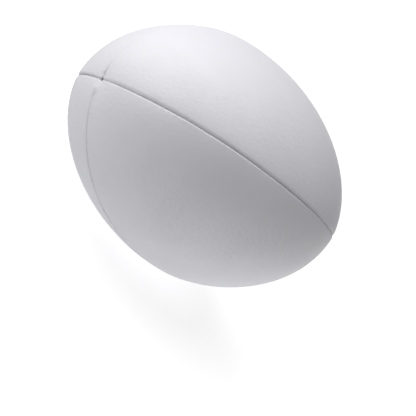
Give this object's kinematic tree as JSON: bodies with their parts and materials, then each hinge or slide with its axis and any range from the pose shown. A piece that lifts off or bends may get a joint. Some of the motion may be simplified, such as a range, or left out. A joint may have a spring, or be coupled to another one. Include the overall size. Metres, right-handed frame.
{
  "type": "rugby ball",
  "caption": "Oval game ball: stitched panels of grained synthetic leather on a woven lining, held in shape by an inflated bladder with a needle valve.",
  "frame": {"origin": "centre of the ball", "axes": "+X along the length from tip to tip, +Z out of the middle of the top cover, +Y out of the rear cover along the valve"},
  "size_m": [0.2898, 0.185, 0.185],
  "materials": {
    "cover": "white synthetic leather, fine grain, low sheen",
    "lining_outer": "woven polyester-cotton, laminated",
    "lining_inner": "woven polyester-cotton, laminated",
    "thread": "waxed twisted polyester",
    "bladder": "moulded butyl rubber, matt",
    "valve_rubber": "moulded rubber, satin",
    "valve_core": "soft rubber, matt",
    "patch": "cured rubber sheet, matt",
    "reinforcement": "woven patch, glued"
  },
  "bodies": {
    "root": {"cover_top": "cover", "cover_front": "cover", "cover_bottom": "cover", "cover_rear": "cover", "lining_outer_top": "lining_outer", "lining_outer_front": "lining_outer", "lining_outer_bottom": "lining_outer", "lining_outer_rear": "lining_outer", "lining_inner_top": "lining_inner", "lining_inner_front": "lining_inner", "lining_inner_bottom": "lining_inner", "lining_inner_rear": "lining_inner", "seam_thread_upper_rear": "thread", "seam_thread_upper_front": "thread", "seam_thread_lower_front": "thread", "seam_thread_lower_rear": "thread", "bladder": "bladder", "valve_housing": "valve_rubber", "valve_core": "valve_core", "valve_patch": "patch", "valve_ring": "reinforcement"}
  },
  "joints": []
}
